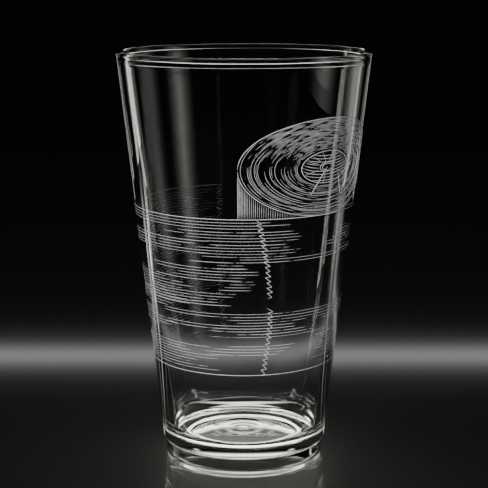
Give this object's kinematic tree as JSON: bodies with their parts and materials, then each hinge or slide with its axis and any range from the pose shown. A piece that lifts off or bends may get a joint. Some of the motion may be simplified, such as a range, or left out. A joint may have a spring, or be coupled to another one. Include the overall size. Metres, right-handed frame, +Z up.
{
  "type": "pint glass",
  "caption": "Tapered clear pint glass with a rounded lip, thick hollowed base and white etched line art of a paper roll and its sheet.",
  "frame": {"origin": "centre of the foot ring, on the surface that the glass stands on", "axes": "+Z up along the glass's axis; -Y faces the front, where the drawn sheet is centred; +X to the right of it, where the drawn roll is"},
  "size_m": [0.089, 0.089, 0.147],
  "materials": {
    "clear_glass": "polished",
    "frosted_line": "frosted"
  },
  "bodies": {
    "root": {"glass_body": "clear_glass", "etched_roll_outline": "frosted_line", "etched_roll_layers": "frosted_line", "etched_roll_core": "frosted_line", "etched_roll_side": "frosted_line", "etched_leader_lines": "frosted_line", "etched_front_borders": "frosted_line", "etched_front_hatching": "frosted_line", "etched_front_tear": "frosted_line", "etched_back_borders": "frosted_line", "etched_back_hatching": "frosted_line", "etched_back_tear": "frosted_line"}
  },
  "joints": []
}
